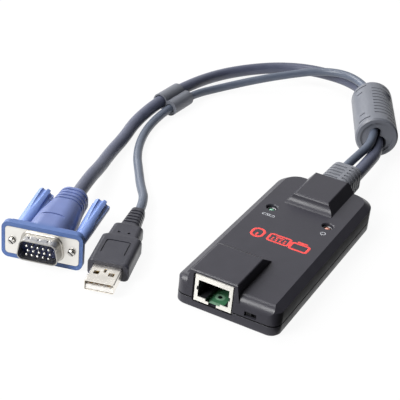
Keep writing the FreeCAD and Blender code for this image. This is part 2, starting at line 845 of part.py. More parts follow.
def video_shell():
    """Plated steel front: a flange plate drawn out into the D, with three dimples."""
    width, height = flange_plate
    plate = Part.Face(hood_section(0, width, height, plate_corner)).extrude(V(0, plate_thickness, 0))
    tube = Part.Face(d_outline(-shell_reach)).extrude(V(0, shell_reach + plate_thickness + 3.0, 0))
    shell = plate.fuse(tube)
    bore = Part.Face(d_outline(-shell_reach - 1, -shell_sheet)).extrude(V(0, shell_reach + 8, 0))
    shell = shell.cut(bore)
    for side in (-1, 1):
        shell = shell.cut(rod(bolt_radius + 2 * bolt_clearance, 4, (side * thumb_across, -1, 0), (0, 1, 0)))
        for i in (-1, 0, 1):
            at = V(i * dimple_spacing, -shell_reach * 0.6, side * (shell_height / 2 + dimple_radius * 0.6))
            dimple = Part.makeSphere(dimple_radius, at)
            shell = shell.cut(dimple)
    return shell


def video_insulator():
    face_at = -0.6
    body = Part.Face(d_outline(face_at, -shell_sheet - 0.1)).extrude(V(0, plate_thickness + 2.8 - face_at, 0))
    for x, z in pin_places():
        body = body.cut(rod(pin_radius, 10, (x, face_at - 1, z), (0, 1, 0)))
    return body


def pin_places():
    places = []
    for row in range(pin_rows):
        shift = (0.5 if row == 1 else 0.0) * pin_pitch / 2
        for i in range(pins_per_row):
            x = (i - (pins_per_row - 1) / 2) * pin_pitch + shift
            places.append((x, (1 - row) * pin_row_gap))
    return places


def video_pins():
    pins = []
    back = plate_thickness + 2.8
    for x, z in pin_places():
        tip = -0.6 - pin_reach
        round_tip = Part.makeSphere(pin_radius, V(x, tip + pin_radius, z))
        pins.append(union([rod(pin_radius, back - tip - pin_radius, (x, tip + pin_radius, z), (0, 1, 0)),
                           round_tip]))
    return group(pins)


def thumb_grip(side):
    """Moulded thumb grip that widens towards its free end, where it is fluted."""
    start = ear_end + thumb_gap
    end = start + thumb_length
    x = side * thumb_across
    grip = union([Part.makeCone(thumb_neck, thumb_tip, thumb_length - 0.6, V(x, start, 0), V(0, 1, 0)),
                  Part.makeCone(thumb_tip, thumb_tip - 0.6, 0.6, V(x, end - 0.6, 0), V(0, 1, 0))])
    rise = start + thumb_length * flute_start
    near = thumb_neck + (thumb_tip - thumb_neck) * flute_start + flute_radius
    far = thumb_tip + flute_radius - flute_depth
    for i in range(thumb_flutes):
        angle = 2 * math.pi * (i + 0.5) / thumb_flutes
        first = V(x + near * math.cos(angle), rise, near * math.sin(angle))
        last = V(x + far * math.cos(angle), end, far * math.sin(angle))
        along = last - first
        grip = grip.cut(Part.makeCylinder(flute_radius, along.Length + 2, first, along))
    return grip.cut(rod(bolt_radius, bolt_inside + 0.1, (x, start - 0.1, 0), (0, 1, 0)))


def thumb_bolt(side):
    """Steel screw moulded into the grip; only its threaded tip shows in front."""
    start = -bolt_reach
    end = ear_end + thumb_gap + bolt_inside
    x = side * thumb_across
    bolt = rod(bolt_radius, end - start - 0.4, (x, start + 0.4, 0), (0, 1, 0))
    bolt = bolt.fuse(Part.makeCone(bolt_radius - 0.4, bolt_radius, 0.4, V(x, start, 0), V(0, 1, 0)))
    for i in range(2):
        y = start + 0.4 + i * thread_pitch
        ring = rod(bolt_radius + 1, thread_pitch / 2, (x, y, 0), (0, 1, 0))
        bolt = bolt.cut(ring.cut(rod(bolt_radius - thread_depth, thread_pitch / 2, (x, y, 0), (0, 1, 0))))
    return bolt


# ------------------------------------------------------------------ USB plug
# Built the same way: the steel mouth is at y = 0 and the cable leaves along +y.
def usb_plug_shell():
    """Folded steel tube with two latch windows above and below."""
    length = usb_shell_reach + 6.0
    outer = Part.Face(hood_section(0, usb_shell_width, usb_shell_height, 0.6)).extrude(V(0, length, 0))
    inner = Part.Face(hood_section(-1, usb_shell_width - 2 * usb_sheet, usb_shell_height - 2 * usb_sheet, 0.3))
    shell = outer.cut(inner.extrude(V(0, length + 2, 0)))
    for side in (-1, 1):
        x = side * usb_shell_width * 0.25
        shell = shell.cut(block(x - 1.15, x + 1.15, 5.2, 7.5, -usb_shell_height, usb_shell_height))
    return shell.cut(block(-0.5, 0.5, 7.2, 9.6, 0, usb_shell_height))


def usb_tongue():
    low = tongue_low()
    half = usb_shell_width / 2 - usb_sheet - tongue_gap
    tongue = block(-half, half, 0.4, usb_shell_reach + 5.5, low, low + tongue_thickness)
    stop = block(-half, half, usb_shell_reach - 0.5, usb_shell_reach + 5.5, low, -low)
    tongue = union([tongue, stop])
    for x, y in usb_contact_places():
        tongue = tongue.cut(block(x - 0.55, x + 0.55, y, usb_shell_reach - 1, low + tongue_thickness - 0.25,
                                  low + tongue_thickness + 1))
    return tongue


def usb_contact_places():
    return [(-3.5, 1.6), (-1.0, 2.6), (1.0, 2.6), (3.5, 1.6)]


def tongue_low():
    return -usb_shell_height / 2 + usb_sheet + tongue_gap


def usb_contacts():
    low = tongue_low() + tongue_thickness - 0.25
    return group([block(x - 0.5, x + 0.5, y + 0.05, usb_shell_reach - 1.05, low, low + 0.3)
                  for x, y in usb_contact_places()])


def usb_overmold():
    """Dark moulded grip with a waist and a ringed boot round the cable."""
    y0 = usb_shell_reach
    y1 = y0 + grip_length
    y2 = y1 + waist_length
    y3 = y2 + boot_length
    grip = ring_loft(hood_section(y0, grip_width - 1.0, grip_height - 1.0, grip_corner - 0.3),
                     hood_section(y0 + 0.7, grip_width, grip_height, grip_corner),
                     hood_section(y1 - 1.6, grip_width, grip_height, grip_corner),
                     hood_section(y1, waist_width + 0.6, grip_height - 0.4, grip_corner))
    waist = ring_loft(hood_section(y1, waist_width + 0.6, grip_height - 0.4, grip_corner),
                      hood_section(y2 - 1.0, waist_width, grip_height - 0.8, grip_corner),
                      hood_section(y2, boot_width, boot_width - 1.0, grip_corner))
    boot = ring_loft(hood_section(y2, boot_width, boot_width - 1.0, grip_corner),
                     hood_section(y3, boot_end, boot_end, grip_corner))
    plug = union([grip, waist, boot])
    pitch = (boot_length - 2.4) / boot_rings
    for i in range(boot_rings):
        y = y2 + 1.4 + i * pitch
        core = boot_width - (boot_width - boot_end) * (i + 1) / boot_rings - 1.6
        ring = Part.Face(hood_section(y, grip_width, grip_width, 2))
        ring = ring.cut(Part.Face(hood_section(y, core, core - 0.6, 1.2))).extrude(V(0, pitch * 0.42, 0))
        for side in (-1, 1):
            low, high = (0.7, 10) if side > 0 else (-10, -0.7)
            plug = plug.cut(ring.common(block(-10, 10, y - 1, y + 3, low, high)))
    plug = plug.cut(block(-usb_shell_width / 2 - 0.05, usb_shell_width / 2 + 0.05, y0 - 1, y0 + 6.1,
                          -usb_shell_height / 2 - 0.05, usb_shell_height / 2 + 0.05))
    for side in (-1, 1):
        plug = plug.cut(rod(0.65, 3, (side * 2.1, y1 + 1.7, grip_height / 2 - 1.8)))
        level = grip_height / 2 - 0.4 if side > 0 else 0.4 - grip_height / 2
        outer = prism(panel_outline(y0, level, 0), panel_corner, (0, 0, side * 2))
        inner = prism(panel_outline(y0, level, panel_groove), panel_corner - panel_groove, (0, 0, side * 2))
        front = block(-grip_width, grip_width, y0, y0 + panel_start + panel_corner, -grip_height, grip_height)
        plug = plug.cut(outer.cut(inner).cut(front))
    return plug


def panel_outline(y0, z, inset):
    x, start, end = panel_half - inset, y0 + panel_start + inset, y0 + panel_end - inset
    return [(-x, start, z), (x, start, z), (x, end, z), (-x, end, z)]


# ---------------------------------------------------------- ferrite and clip
def lead_bores():
    """Room for both leads, the thin one above, with flared mouths."""
    bores = []
    for (x, z), radius in ((video_place, video_lead / 2), (usb_place, usb_lead / 2)):
        bores.append(rod(radius, ferrite_length, (x, 0, z), (0, 1, 0)))
        for y, direction in ((0, 1), (ferrite_length, -1)):
            at, along = V(x, y, z), V(0, direction, 0)
            bores.append(Part.makeCone(radius + mouth_flare, radius, mouth_depth, at, along))
    return union(bores)


def ferrite_core():
    start = (ferrite_length - core_length) / 2
    ring = rod(core_radius, core_length, (0, start, 0), (0, 1, 0))
    bore = rod(core_bore, core_length + 2, (0, start - 1, 0), (0, 1, 0))
    ring = ring.makeChamfer(0.6, [e for e in ring.Edges if e.Curve.TypeId == "Part::GeomCircle"])
    return ring.cut(bore)


def ferrite_sleeve():
    """Moulded jacket round the core: a ribbed side, end slots and stepped end faces."""
    body = rod(ferrite_radius, ferrite_length, (0, 0, 0), (0, 1, 0))
    body = body.makeChamfer(0.8, [e for e in body.Edges if abs(e.Length - 2 * math.pi * ferrite_radius) < 0.01])
    start = (ferrite_length - core_length) / 2 - core_gap
    body = body.cut(rod(core_radius + core_gap, core_length + 2 * core_gap, (0, start, 0), (0, 1, 0)))
    pitch = (ferrite_length - 2 * rib_inset) / (ferrite_ribs - 1)
    grooves = []
    for i in range(ferrite_ribs):
        y = rib_inset + i * pitch - rib_groove / 2
        ring = rod(ferrite_radius + 1, rib_groove, (0, y, 0), (0, 1, 0))
        grooves.append(ring.cut(rod(ferrite_radius - rib_depth, rib_groove, (0, y, 0), (0, 1, 0))))
    reach = ferrite_radius + 1
    ribbed = block(-rib_share * ferrite_radius, reach, 0, ferrite_length, -reach, reach)
    body = body.cut(group(grooves).common(ribbed))
    for y in (end_slot_inset, ferrite_length - end_slot_inset - end_slot):
        ring = rod(ferrite_radius + 1, end_slot, (0, y, 0), (0, 1, 0))
        ring = ring.cut(rod(ferrite_radius - end_slot_depth, end_slot, (0, y, 0), (0, 1, 0)))
        for x0, x1 in ((-0.88, -0.42), (0.38, 0.83)):
            body = body.cut(ring.common(block(x0 * ferrite_radius, x1 * ferrite_radius, y, y + end_slot,
                                              0, ferrite_radius + 2)))
    for y in (rib_inset + 1.5, ferrite_length - rib_inset - 2.5):
        body = body.cut(block(-ferrite_radius, -0.63 * ferrite_radius, y, y + 1.0, 0.54 * ferrite_radius,
                              ferrite_radius))
    for y in (0, ferrite_length - end_recess):
        body = body.cut(rod(ferrite_radius * end_disc, end_recess, (0, y, 0), (0, 1, 0)))
    return body.cut(lead_bores())


def cable_clip():
    """Two joined sleeves that keep the leads side by side before they part.  Built on
    the thick lead's axis, then rolled so that the thin lead's sleeve lies lower."""
    thick_bore = video_lead / 2 + clip_slack
    thin_bore = usb_lead / 2 + clip_slack
    gap = clip_gap()
    sleeves = [rod(thick_bore + clip_wall, clip_length, (0, 0, 0), (0, 1, 0)),
               rod(thin_bore + thin_clip_wall, clip_length, (gap, 0, 0), (0, 1, 0))]
    web = block(0, gap, 0, clip_length, -clip_gap() / 3, clip_gap() / 3)
    clip = union(sleeves + [web])
    clip = clip.cut(rod(thick_bore, clip_length + 2, (0, -1, 0), (0, 1, 0)))
    clip = clip.cut(rod(thin_bore, clip_length + 2, (gap, -1, 0), (0, 1, 0)))
    clip.rotate(V(0, 0, 0), V(0, 1, 0), clip_roll)
    return clip


def clip_gap():
    """Centre distance of the two leads in the clip: the walls run together."""
    return (video_lead + usb_lead) / 2 + 2 * clip_slack + clip_web


def clip_rise():
    """Height of the thick lead in the clip when the thin sleeve touches the table."""
    thin = usb_lead / 2 + clip_slack + thin_clip_wall
    return thin + clip_gap() * math.sin(math.radians(clip_roll))


# --------------------------------------------------------------------- leads
# The corners of each lead, chosen by hand, between the strain relief and its plug.
video_route = [
    (3.8, 84.0, 8.4), (2.73, 107.24, 7.4), (-20.02, 157.86, 7.4), (-36.9, 174.5, 7.4),
    (-61.0, 177.6, 6.5), (-79.7, 172.2, 5.1), (-95.1, 159.7, 3.6), (-106.0, 140.3, 3.4),
    (-109.16, 110.38, 6.07), (-110.3, 84.4, 6.07), (-110.5, 64.9, 3.6), (-106.1, 47.3, 3.1),
    (-103.0, 30.3, 3.4), (-97.8, 13.5, 5.2), (-93.04, -3.7, 8.2),
]
usb_route = [
    (-2.6, 82.0, 9.9), (0.94, 106.11, 12.8), (-21.94, 157.0, 12.8), (-37.3, 168.9, 13.2),
    (-53.2, 169.6, 11.5), (-68.9, 159.4, 8.4), (-83.2, 146.4, 5.5), (-96.9, 130.7, 2.4),
    (-103.34, 110.13, 3.95), (-104.48, 84.15, 3.95), (-104.2, 68.9, 2.3), (-99.8, 52.9, 2.1),
    (-92.8, 37.8, 2.1), (-84.1, 25.2, 2.2), (-76.2, 13.5, 2.7), (-66.5, 1.0, 4.2),
]


def route_radii(points):
    """The largest arc that both runs at a corner leave room for."""
    points = [V(*p) for p in points]
    radii = [0.0] * len(points)
    for i in range(1, len(points) - 1):
        before, after = points[i] - points[i - 1], points[i + 1] - points[i]
        turn = before.getAngle(after)
        radii[i] = 0.45 * min(before.Length, after.Length) / math.tan(turn / 2)
    return radii


def lead(name, route, diameter):
    """A round lead along straight runs joined by tangent arcs."""
    radii = route_radii(route)
    path = Part.Wire(rounded_edges(route, radii, closed=False))
    tube = sweep_circle(path, diameter / 2)
    section = math.pi * diameter ** 2 / 4
    print(name, "length", round(path.Length, 1), "tightest arc", round(min(radii[1:-1]), 1),
          "volume ratio", round(tube.Volume / (section * path.Length), 4))
    print(name, "ends", [round(c, 2) for c in route[0]], [round(c, 2) for c in route[-1]])
    return tube


# --------------------------------------------------------------------- parts
def main():
    save("top_shell", top_shell())
    save("bottom_shell", bottom_shell())
    save("case_screws", case_screws())
    save("circuit_board", circuit_board())
    save("jack_shield", jack_shield())
    save("jack_insulator", jack_insulator())
    save("jack_contacts", jack_contacts())
    save("switch_body", switch_body())
    save("switch_knob", switch_knob())
    save("link_lamp", lamp(-1))
    save("power_lamp", lamp(1))
    save("lamp_legs", lamp_legs())
    save("main_chip", main_chip())
    save("small_chips", small_chips())
    save("crystal", crystal())
    save("capacitors", capacitors())
    save("video_header", header(video_header, 10.0))
    save("usb_header", header(usb_header, 8.0))
    save("inner_wires", inner_wires())
    save("strain_relief", strain_relief())

    video = (video_turn, video_at, hood_height / 2)
    save("video_hood", placed(video_hood(), *video))
    save("video_shell", placed(video_shell(), *video))
    save("video_insulator", placed(video_insulator(), *video))
    save("video_pins", placed(video_pins(), *video))
    for side, word in ((-1, "left"), (1, "right")):
        save(word + "_thumb_grip", placed(thumb_grip(side), *video))
        save(word + "_thumb_bolt", placed(thumb_bolt(side), *video))
        print(word, "thumbscrew axis", local_to_table((side * thumb_across, 0, 0), *video))

    usb = (usb_turn, usb_at, grip_height / 2)
    save("usb_plug_shell", placed(usb_plug_shell(), *usb))
    save("usb_tongue", placed(usb_tongue(), *usb))
    save("usb_contacts", placed(usb_contacts(), *usb))
    save("usb_overmold", placed(usb_overmold(), *usb))

    ferrite = (ferrite_turn, ferrite_at, ferrite_radius)
    save("ferrite_core", placed(ferrite_core(), *ferrite))
    save("ferrite_sleeve", placed(ferrite_sleeve(), *ferrite))
    save("cable_clip", placed(cable_clip(), clip_turn, clip_at, clip_rise()))

    video_exit = local_to_table((0, hood_length, 0), *video)
    usb_exit = local_to_table((0, usb_length, 0), *usb)
    video_start = (video_bore, relief_end, video_route[0][2])
    usb_start = (usb_bore, relief_end, usb_route[0][2])
    save("video_lead", lead("video_lead", [video_start] + video_route + [video_exit], video_lead))
    save("usb_lead", lead("usb_lead", [usb_start] + usb_route + [usb_exit], usb_lead))


main()
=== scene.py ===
# %% [markdown]
# # A video and USB interface dongle
#
# The object is a small moulded housing with a network socket at one end.  Two leads
# leave the other end through a soft strain relief, run through a ferrite and a clip,
# and end in a blue video plug and a dark USB plug.  The frame brings in every solid
# of the CAD model, in metres and in place.  This lesson gives them light, a camera
# and finishes, and adds what is too soft, too thin or too printed for a solid.

# %% Load the frame
import bpy
import math
import numpy as np
from mathutils import Matrix, Vector


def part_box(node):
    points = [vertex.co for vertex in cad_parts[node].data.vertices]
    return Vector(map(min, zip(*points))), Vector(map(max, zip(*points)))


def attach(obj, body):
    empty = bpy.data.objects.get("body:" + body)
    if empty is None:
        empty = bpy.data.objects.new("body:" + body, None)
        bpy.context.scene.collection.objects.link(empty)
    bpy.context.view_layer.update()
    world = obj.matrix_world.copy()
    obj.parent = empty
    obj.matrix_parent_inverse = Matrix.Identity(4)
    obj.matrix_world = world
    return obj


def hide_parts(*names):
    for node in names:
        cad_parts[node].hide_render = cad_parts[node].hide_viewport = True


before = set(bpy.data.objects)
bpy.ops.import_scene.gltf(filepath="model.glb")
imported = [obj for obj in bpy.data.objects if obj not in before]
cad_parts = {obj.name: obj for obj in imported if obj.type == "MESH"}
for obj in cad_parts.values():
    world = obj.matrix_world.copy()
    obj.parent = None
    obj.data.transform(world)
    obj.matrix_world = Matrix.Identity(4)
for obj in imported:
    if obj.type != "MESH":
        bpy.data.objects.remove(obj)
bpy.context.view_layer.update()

# %% [markdown]
# The camera stands in front of the socket end, a little to the right, and looks down
# at about thirty degrees.  A long lens from half a metre away keeps the housing's sides
# nearly parallel.  The camera could be placed by hand, but here its axes are worked out
# from two angles and a small roll, so each of them can be changed by itself.

# %% Camera
azimuth, elevation, roll = (math.radians(angle) for angle in (25.605, 30.094, 5.657))
aim = Vector((-0.05032, 0.02257, 0.0))
distance = 0.504
backwards = Vector((math.sin(azimuth) * math.cos(elevation),
                    -math.cos(azimuth) * math.cos(elevation), math.sin(elevation)))
level = Vector((0, 0, 1)).cross(backwards).normalized()
upright = backwards.cross(level)
right = math.cos(roll) * level + math.sin(roll) * upright
up = -math.sin(roll) * level + math.cos(roll) * upright

camera_data = bpy.data.cameras.new("camera")
camera_data.sensor_width = 36.0
camera_data.lens = 101.15
camera = bpy.data.objects.new("camera", camera_data)
bpy.context.scene.collection.objects.link(camera)
camera.matrix_world = (Matrix.Translation(aim + distance * backwards)
                       @ Matrix((right, up, backwards)).transposed().to_4x4())
bpy.context.scene.camera = camera
bpy.context.scene.view_settings.view_transform = "Standard"
print("camera stands at", [round(c, 4) for c in camera.matrix_world.translation])

# %% [markdown]
# A lead is a fixed length of something round and springy.  It could be a tube swept
# along arcs and straight runs, but that looks like bent wire, so each lead is one
# smooth curve with a round section.  A NURBS curve needs only the corners of the
# route: it turns past them in even bends, which is how a jacketed cable lies.  The
# thick lead carries video and the thin one USB.

# %% Routes of the leads
video_route = [
    (0.0038, 0.0684, 0.0084), (0.0038, 0.0840, 0.0084), (0.00273, 0.10724, 0.0074),
    (-0.02002, 0.15786, 0.0074), (-0.0369, 0.1745, 0.0074), (-0.0610, 0.1776, 0.0065),
    (-0.0797, 0.1722, 0.0051), (-0.0951, 0.1597, 0.0036), (-0.1060, 0.1403, 0.0034),
    (-0.10916, 0.11038, 0.00607), (-0.1103, 0.0844, 0.00607), (-0.1105, 0.0649, 0.0036),
    (-0.1061, 0.0473, 0.0031), (-0.1030, 0.0303, 0.0034), (-0.0978, 0.0135, 0.0052),
    (-0.09304, -0.0037, 0.0082), (-0.08843, -0.02089, 0.0082),
]
usb_route = [
    (-0.0026, 0.0684, 0.0099), (-0.0026, 0.0820, 0.0099), (0.00094, 0.10611, 0.0128),
    (-0.02194, 0.1570, 0.0128), (-0.0373, 0.1689, 0.0132), (-0.0532, 0.1696, 0.0115),
    (-0.0689, 0.1594, 0.0084), (-0.0832, 0.1464, 0.0055), (-0.0969, 0.1307, 0.0024),
    (-0.10334, 0.11013, 0.00395), (-0.10448, 0.08415, 0.00395), (-0.1042, 0.0689, 0.0023),
    (-0.0998, 0.0529, 0.0021), (-0.0928, 0.0378, 0.0021), (-0.0841, 0.0252, 0.0022),
    (-0.0762, 0.0135, 0.0027), (-0.0665, 0.0010, 0.0042), (-0.06318, -0.0104, 0.0042),
]
print("corners on the routes:", len(video_route), "and", len(usb_route))

# %% [markdown]
# Each curve stands in for the tube that the CAD model has in that place.  It isn't laid
# over that tube: the tube's solid is hidden, and the curve rides on the housing.

# %% Leads
leads = bpy.data.collections.new("leads")
bpy.context.scene.collection.children.link(leads)


def lead_curve(name, route, diameter):
    """A round lead: a NURBS curve of order three over the route's corners, all of them
    with the same radius."""
    curve = bpy.data.curves.new(name, "CURVE")
    curve.dimensions = "3D"
    curve.bevel_depth = 1.0  # the points' own radius, in metres, sets the thickness
    curve.bevel_resolution = 6
    curve.resolution_u = 16
    spline = curve.splines.new("NURBS")
    spline.points.add(len(route) - 1)
    corners = np.ones((len(route), 4))
    corners[:, :3] = route
    spline.points.foreach_set("co", corners.ravel())
    spline.points.foreach_set("radius", np.full(len(route), diameter / 2))
    spline.order_u = 3
    spline.use_endpoint_u = True
    piece = bpy.data.objects.new(name, curve)
    leads.objects.link(piece)
    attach(piece, "housing")
    return piece


video_cord = lead_curve("video_cord", video_route, diameter=0.0062)
usb_cord = lead_curve("usb_cord", usb_route, diameter=0.0042)
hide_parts("video_lead")
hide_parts("usb_lead")

# %% [markdown]
# The object lies on a plain pale table, one large flat sheet just under it.  A mesh
# here is always a grid of points worked out by a formula, and the faces between them
# follow from the numbers of its rows and columns.

# %% Table
def grid_faces(rows, columns, start=0, closed=False):
    """The faces of a grid of points that are numbered from start.  Each cell between
    four neighbouring points is one face, and a closed grid joins its last row to its
    first."""
    index = start + np.arange(rows * columns).reshape(rows, columns)
    if closed:
        index = np.concatenate([index, index[:1]], axis=0)
    cells = [index[:-1, :-1], index[1:, :-1], index[1:, 1:], index[:-1, 1:]]
    return np.stack(cells, axis=-1).reshape(-1, 4)


def new_piece(name, points, faces):
    """An object at the origin, with its place in its mesh's points."""
    mesh = bpy.data.meshes.new(name)
    mesh.from_pydata(points.reshape(-1, 3).tolist(), [], faces.tolist())
    piece = bpy.data.objects.new(name, mesh)
    bpy.context.scene.collection.objects.link(piece)
    return piece


table_half, table_drop = 2.0, 0.0001
table_line = np.linspace(-table_half, table_half, 3)
table_x, table_y = np.meshgrid(table_line, table_line, indexing="ij")
table_points = np.stack([table_x, table_y, np.full_like(table_x, -table_drop)], axis=-1)
table = new_piece("table", table_points, grid_faces(*table_x.shape))
print("table laid at", round(float(table.data.vertices[0].co.z), 4))

# %% [markdown]
# A finish is a tree of nodes, and the same few steps come back in every one: a wire
# from one socket to another, a value carried from one range onto another, and a step
# of arithmetic.  Each could be written out every time, but as a function it keeps the
# trees short enough to read.

# %% Steps of a finish
def join(tree, output, entry):
    """A wire from one node's socket to another's."""
    tree.links.new(output, entry)


def remap(tree, value, reads, gives, course="LINEAR"):
    """A value carried from the range that it reads onto the range that it gives, and
    held at that range's ends."""
    step = tree.nodes.new("ShaderNodeMapRange")
    step.interpolation_type = course
    for entry, number in zip(("From Min", "From Max", "To Min", "To Max"), (*reads, *gives)):
        step.inputs[entry].default_value = number
    join(tree, value, step.inputs["Value"])
    return step.outputs["Result"]


def calculate(tree, operation, first, second):
    """One step of arithmetic on two values, the second of which may be a number."""
    step = tree.nodes.new("ShaderNodeMath")
    step.operation = operation
    join(tree, first, step.inputs[0])
    if isinstance(second, float):
        step.inputs[1].default_value = second
    else:
        join(tree, second, step.inputs[1])
    return step.outputs[0]


print("steps of a finish: join, remap, calculate")

# %% [markdown]
# For the camera the table is nearly white and keeps a faint shadow, so most of what
# the camera sees of it is a steady white and the rest is a lit matt surface.  Metal
# sees the same table.  To the right of the housing the table sends little light back,
# as if a black card lay there, and in front of it a grey one.  They keep the walls on
# those sides dark.  Real cards would show, and these work only through the light that
# the table sends back.

# %% Table finish
black_card_edge, black_card_sends = (0.0225, 0.0255), (1.0, 0.06)
grey_card_front, grey_card_takes = (-0.060, -0.052), (0.5, 0.0)
grey_card_side = (-0.035, -0.020)
steady_share = 0.93
matt_white = (0.86, 0.86, 0.86)

table_finish = bpy.data.materials.new("table_white")
table_finish.use_nodes = True
tree = table_finish.node_tree
tree.nodes.clear()
rays = tree.nodes.new("ShaderNodeLightPath")
table_place = tree.nodes.new("ShaderNodeTexCoord")
sides = tree.nodes.new("ShaderNodeSeparateXYZ")
join(tree, table_place.outputs["Object"], sides.inputs[0])
black_card = remap(tree, sides.outputs["X"], black_card_edge, black_card_sends)
ahead = remap(tree, sides.outputs["Y"], grey_card_front, grey_card_takes)
beside_plugs = remap(tree, sides.outputs["X"], grey_card_side, (0.0, 1.0))
grey_card = calculate(tree, "MULTIPLY", ahead, beside_plugs)
sent_back = calculate(tree, "SUBTRACT", black_card, grey_card)
reach = calculate(tree, "MAXIMUM", rays.outputs["Is Camera Ray"], sent_back)
paint = tree.nodes.new("ShaderNodeVectorMath")
paint.operation = "SCALE"
paint.inputs[0].default_value = matt_white
join(tree, reach, paint.inputs["Scale"])
lit = tree.nodes.new("ShaderNodeBsdfDiffuse")
join(tree, paint.outputs[0], lit.inputs["Color"])
steady = tree.nodes.new("ShaderNodeEmission")
steady.inputs["Color"].default_value = (1, 1, 1, 1)
join(tree, reach, steady.inputs["Strength"])
seen = calculate(tree, "MAXIMUM", rays.outputs["Is Camera Ray"], rays.outputs["Is Glossy Ray"])
seen = calculate(tree, "MAXIMUM", seen, rays.outputs["Is Transmission Ray"])
mix = tree.nodes.new("ShaderNodeMixShader")
join(tree, calculate(tree, "MULTIPLY", seen, steady_share), mix.inputs["Fac"])
join(tree, lit.outputs[0], mix.inputs[1])
join(tree, steady.outputs[0], mix.inputs[2])
surface_end = tree.nodes.new("ShaderNodeOutputMaterial")
join(tree, mix.outputs[0], surface_end.inputs["Surface"])
table.data.materials.append(table_finish)
print("nodes in the table's finish:", len(tree.nodes))

# %% [markdown]
# The light is a studio's: a large soft box on the left, which draws pale lines along
# the edges on that side, one in front that shines in the rolled front edge, and a small
# one overhead for the foot of the scoop.  A point lamp would leave hard spots on the
# plating, and a wide box leaves the long soft streaks that show a curved surface.

# %% Lamps
def softbox(name, place, target, width, height, power):
    """A rectangle of light that faces its target.  Sizes are in metres, power in watts."""
    lamp = bpy.data.lights.new(name, "AREA")
    lamp.shape = "RECTANGLE"
    lamp.size, lamp.size_y = width, height
    lamp.energy = power
    box = bpy.data.objects.new(name, lamp)
    bpy.context.scene.collection.objects.link(box)
    place, target = Vector(place), Vector(target)
    facing = (place - target).to_track_quat("Z", "Y").to_matrix().to_4x4()
    box.matrix_world = Matrix.Translation(place) @ facing


softbox("left_light", place=(-1.05, 0.28, 0.66), target=(-0.04, 0.05, 0.0),
        width=0.9, height=0.6, power=11.0)
softbox("front_light", place=(-0.38, -0.66, 0.62), target=(0.0, -0.05, 0.0),
        width=0.45, height=0.50, power=11.0)
softbox("top_light", place=(-0.40, 0.20, 0.92), target=(0.0, 0.02, 0.0),
        width=0.35, height=0.35, power=2.6)

# %% [markdown]
# Round the lamps there is a room.  It is bright on the left and dark on the right, and
# one passes into the other gently.  An even room would be simpler, but the dark side
# is what keeps the walls that face it nearly black, so that the edges stand out.

# %% Room
room_direction, room_strength = (0.95, -0.05, 0.12), 0.8
bright_side, dark_side = 0.85, 0.02
passing = (-0.2, 0.4)

world = bpy.data.worlds.new("studio")
bpy.context.scene.world = world
world.use_nodes = True
tree = world.node_tree
tree.nodes.clear()
direction = tree.nodes.new("ShaderNodeTexCoord")
towards = tree.nodes.new("ShaderNodeVectorMath")
towards.operation = "DOT_PRODUCT"
towards.inputs[1].default_value = room_direction
join(tree, direction.outputs["Generated"], towards.inputs[0])
shade = remap(tree, towards.outputs["Value"], passing, (bright_side, dark_side), "SMOOTHSTEP")
room = tree.nodes.new("ShaderNodeBackground")
room.inputs["Strength"].default_value = room_strength
join(tree, shade, room.inputs["Color"])
room_end = tree.nodes.new("ShaderNodeOutputWorld")
join(tree, room.outputs[0], room_end.inputs["Surface"])
print("the room goes from", bright_side, "to", dark_side)

# %% [markdown]
# What is printed, and the thinnest trim, is too flat for a solid.  It could be painted
# on as a picture, but then it would have no edge to catch the light.  All of it comes
# from one surface of two parameters: the first runs round an outline made of arcs and
# straight runs, and the second crosses a small profile.  A ring of ink, a filled bar, a
# rolled lip and a line of shadow differ only in those two.  Sizes here are in
# millimetres, and the last step turns them into metres.

# %% Outlines
MM = 0.001
ARC_STEPS = 12


def outline(corners):
    """Points round a shape, and the outward directions there.  Each corner is an arc,
    given by its centre, its radius and its first and last angle in degrees: the point
    is the centre plus the radius times (cosine, sine).  Straight runs join the arcs."""
    arcs = np.array(corners, float)
    share = np.linspace(0, 1, ARC_STEPS)
    angle = np.radians(arcs[:, 3:4] + (arcs[:, 4:5] - arcs[:, 3:4]) * share)
    out = np.stack([np.cos(angle), np.sin(angle)], axis=-1)
    points = arcs[:, None, :2] + arcs[:, None, 2:3] * out
    return points.reshape(-1, 2), out.reshape(-1, 2)


def rounded(centre, half, corner):
    """The outline of a rectangle with four round corners, given by its half sizes."""
    (x, y), (across, along) = centre, half
    quarters = ((1, -1, -90), (1, 1, 0), (-1, 1, 90), (-1, -1, 180))
    return outline([(x + to_right * (across - corner), y + to_top * (along - corner), corner,
                     first, first + 90) for to_right, to_top, first in quarters])


print("points round a rounded rectangle:", len(rounded((0, 0), (2, 1), 0.5)[0]))

# %% [markdown]
# A section is the small profile that crosses an outline.  A square one would have hard
# sides, so a line and a filled shape are both parabolas, which rise and fall as a film
# of wet ink does before it dries.

# %% Sections
INK_RISE = 0.04


def stroke(width, rise=INK_RISE):
    """A rounded bead's section, from one side of the line to the other: a parabola."""
    t = np.linspace(-1, 1, 7)
    return np.stack([t * width / 2, rise * (1 - t ** 2)], axis=-1)


def fill(radius, rise=INK_RISE):
    """The section of a filled shape, from its middle line out to its edge: half a
    parabola."""
    t = np.linspace(0, 1, 5)
    return np.stack([(t - 1) * radius, rise * (1 - t ** 2)], axis=-1)


print("points across a stroke and a fill:", len(stroke(1.0)), "and", len(fill(1.0)))

# %% [markdown]
# An outline and a section together make a band, which is a grid of points, and several
# bands make a piece.  Extruding and scaling by hand would give the same faces, but here
# every point of a band is worked out at once.

# %% Bands
UPRIGHT = ((1, 0, 0), (0, 1, 0), (0, 0, 1))


